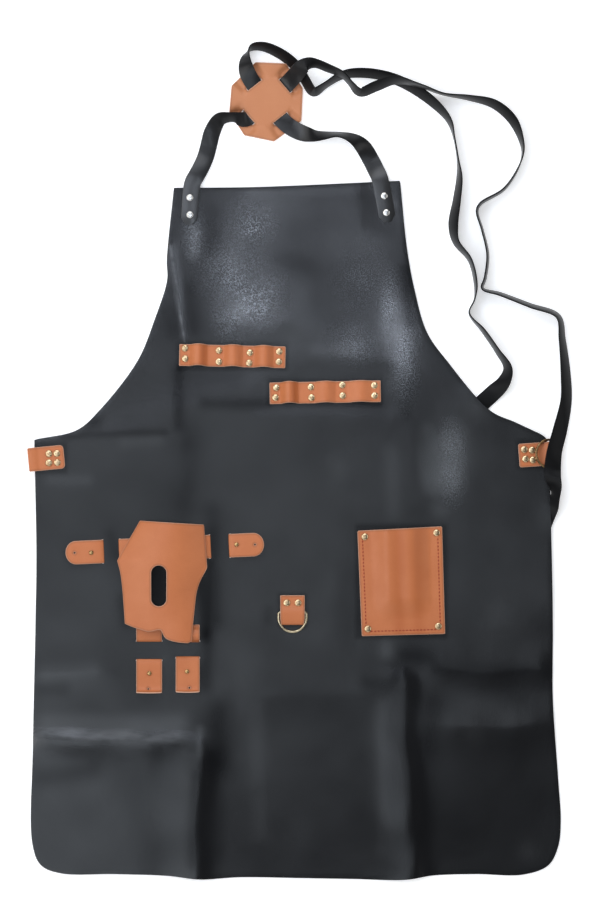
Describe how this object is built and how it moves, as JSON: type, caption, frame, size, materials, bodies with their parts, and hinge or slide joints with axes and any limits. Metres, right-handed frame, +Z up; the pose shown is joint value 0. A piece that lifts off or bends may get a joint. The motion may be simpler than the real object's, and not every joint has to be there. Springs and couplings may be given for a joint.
{
  "type": "work apron",
  "caption": "Faux leather work apron lying flat, with straps woven through a cross patch, riveted tool loops, a tool holster, a patch pocket and hanging rings.",
  "frame": {"origin": "on the floor, under the middle of everything that lies there, the straps included", "axes": "+X to the right of the skirt as seen from above, +Y from the hem to the neck, +Z up from the floor"},
  "size_m": [0.6188, 0.9511, 0.038],
  "materials": {
    "panel_leather": "black faux leather, fine grain, soft sheen",
    "strap_leather": "black faux leather, matt",
    "tan_leather": "tan faux leather, smooth, pale cut edges",
    "brass": "pale brass plate, polished",
    "rivet_metal": "pale brass plate, polished"
  },
  "bodies": {
    "apron": {"apron_panel": "panel_leather", "neck_strap_left": "strap_leather", "neck_strap_right": "strap_leather", "cross_patch": "tan_leather", "tool_strip_upper": "tan_leather", "tool_strip_lower": "tan_leather", "waist_tab_left": "tan_leather", "waist_tab_right": "tan_leather", "holster": "tan_leather", "holster_belt": "tan_leather", "holster_strap_left": "tan_leather", "holster_strap_right": "tan_leather", "ring_tab": "tan_leather", "pocket": "tan_leather", "waist_ring": "brass", "rivet_bib_left_1": "rivet_metal", "rivet_bib_left_2": "rivet_metal", "rivet_bib_right_1": "rivet_metal", "rivet_bib_right_2": "rivet_metal", "rivet_upper_strip_1": "rivet_metal", "rivet_upper_strip_2": "rivet_metal", "rivet_upper_strip_3": "rivet_metal", "rivet_upper_strip_4": "rivet_metal", "rivet_upper_strip_5": "rivet_metal", "rivet_upper_strip_6": "rivet_metal", "rivet_upper_strip_7": "rivet_metal", "rivet_upper_strip_8": "rivet_metal", "rivet_lower_strip_1": "rivet_metal", "rivet_lower_strip_2": "rivet_metal", "rivet_lower_strip_3": "rivet_metal", "rivet_lower_strip_4": "rivet_metal", "rivet_lower_strip_5": "rivet_metal", "rivet_lower_strip_6": "rivet_metal", "rivet_lower_strip_7": "rivet_metal", "rivet_lower_strip_8": "rivet_metal", "rivet_waist_left_1": "rivet_metal", "rivet_waist_left_2": "rivet_metal", "rivet_waist_left_3": "rivet_metal", "rivet_waist_left_4": "rivet_metal", "rivet_waist_right_1": "rivet_metal", "rivet_waist_right_2": "rivet_metal", "rivet_waist_right_3": "rivet_metal", "rivet_waist_right_4": "rivet_metal", "rivet_ring_tab_1": "rivet_metal", "rivet_ring_tab_2": "rivet_metal", "rivet_pocket_1": "rivet_metal", "rivet_pocket_2": "rivet_metal", "rivet_pocket_3": "rivet_metal", "rivet_pocket_4": "rivet_metal", "stud_left": "rivet_metal", "stud_right": "rivet_metal", "stud_lower_left": "rivet_metal", "stud_lower_right": "rivet_metal"},
    "d_ring": {"d_ring": "brass"}
  },
  "joints": [
    {"name": "d_ring_swing", "type": "hinge", "parent": "apron", "child": "d_ring", "pos_m": [-0.0085, -0.1715, 0.0088], "axis": [-1, 0, 0], "range_deg": [0, 170]}
  ]
}
